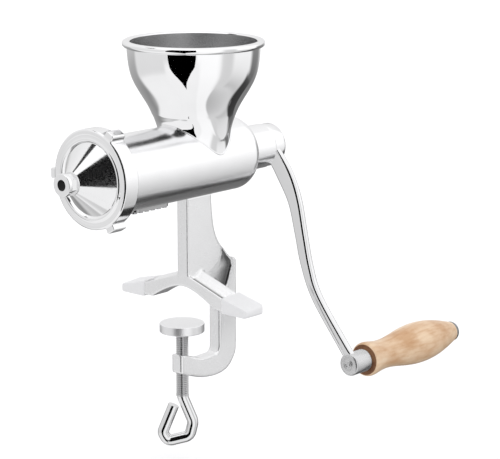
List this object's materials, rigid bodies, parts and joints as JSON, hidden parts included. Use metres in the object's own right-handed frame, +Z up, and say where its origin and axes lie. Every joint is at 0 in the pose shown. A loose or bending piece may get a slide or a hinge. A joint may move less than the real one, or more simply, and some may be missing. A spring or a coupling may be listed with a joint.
{
  "type": "hand crank meat grinder",
  "caption": "Table-clamped hand-crank auger grinder: open hopper, barrel, cone outlet under a ring nut, splayed feet, C clamp with looped screw, and S-shaped crank with wooden grip.",
  "frame": {"origin": "point on the table top that the feet stand on, on the axis of the clamp screw, midway between the feet", "axes": "+Z up out of the table; +Y along the barrel from the outlet towards the crank, out over the table's edge; +X to the side on which the crank handle hangs"},
  "size_m": [0.1763, 0.3536, 0.3197],
  "materials": {
    "polished_steel": "mirror-polished stainless steel",
    "satin_steel": "satin stainless steel",
    "wood": "clear-lacquered beech",
    "white_cover": "soft white, slightly matte",
    "white_seal": "white food-grade plastic",
    "bronze": "plain bearing bronze"
  },
  "bodies": {
    "stand": {"barrel": "polished_steel", "hopper": "polished_steel", "juice_screen": "satin_steel", "rear_bush": "bronze", "shaft_seal": "white_seal", "thrust_washer": "white_seal", "stand_frame": "satin_steel", "foot_cover_left": "white_cover", "foot_cover_right": "white_cover"},
    "crank": {"auger": "satin_steel", "crank_arm": "polished_steel", "crank_washer": "satin_steel", "crank_bolt": "satin_steel", "handle_spindle": "satin_steel", "grip_washer": "satin_steel", "grip_cap": "satin_steel"},
    "grip": {"grip": "wood"},
    "front_cone": {"nose_cone": "polished_steel", "cone_gasket": "white_seal"},
    "ring_nut": {"ring_nut": "satin_steel"},
    "outlet_seat": {"outlet_washer": "satin_steel"},
    "outlet": {"outlet_nozzle": "satin_steel"},
    "pad": {"clamp_pad": "satin_steel", "pad_ring": "satin_steel"},
    "screw": {"clamp_screw": "polished_steel"}
  },
  "joints": [
    {"name": "crank_turn", "type": "hinge", "parent": "stand", "child": "crank", "pos_m": [0, 0.1, 0.113], "axis": [0, 1, 0], "continuous": true},
    {"name": "grip_spin", "type": "hinge", "parent": "crank", "child": "grip", "pos_m": [0.093, 0.1, -0.0504], "axis": [0, 1, 0], "continuous": true},
    {"name": "cone_slide", "type": "slide", "parent": "stand", "child": "front_cone", "axis": [0, -1, 0], "range_m": [0, 0.006]},
    {"name": "ring_unscrew", "type": "hinge", "parent": "front_cone", "child": "ring_nut", "pos_m": [0, -0.09, 0.113], "axis": [0, -1, 0], "range_deg": [0, 720]},
    {"name": "outlet_travel", "type": "slide", "parent": "front_cone", "child": "outlet_seat", "axis": [0, -1, 0], "range_m": [0, 0.003]},
    {"name": "outlet_turn", "type": "hinge", "parent": "outlet_seat", "child": "outlet", "pos_m": [0, -0.12, 0.113], "axis": [0, -1, 0], "range_deg": [0, 720]},
    {"name": "pad_slide", "type": "slide", "parent": "stand", "child": "pad", "axis": [0, 0, 1], "range_m": [-0.0165, 0.0135]},
    {"name": "screw_turn", "type": "hinge", "parent": "pad", "child": "screw", "pos_m": [0, 0, -0.05], "axis": [0, 0, 1], "range_deg": [-3960, 3240]}
  ],
  "couplings": [
    {"joint": "cone_slide", "follows": "ring_unscrew", "m_per_rad": 0.00047746},
    {"joint": "outlet_travel", "follows": "outlet_turn", "m_per_rad": 0.00023873},
    {"joint": "screw_turn", "follows": "pad_slide", "rad_per_m": 4188.8}
  ]
}
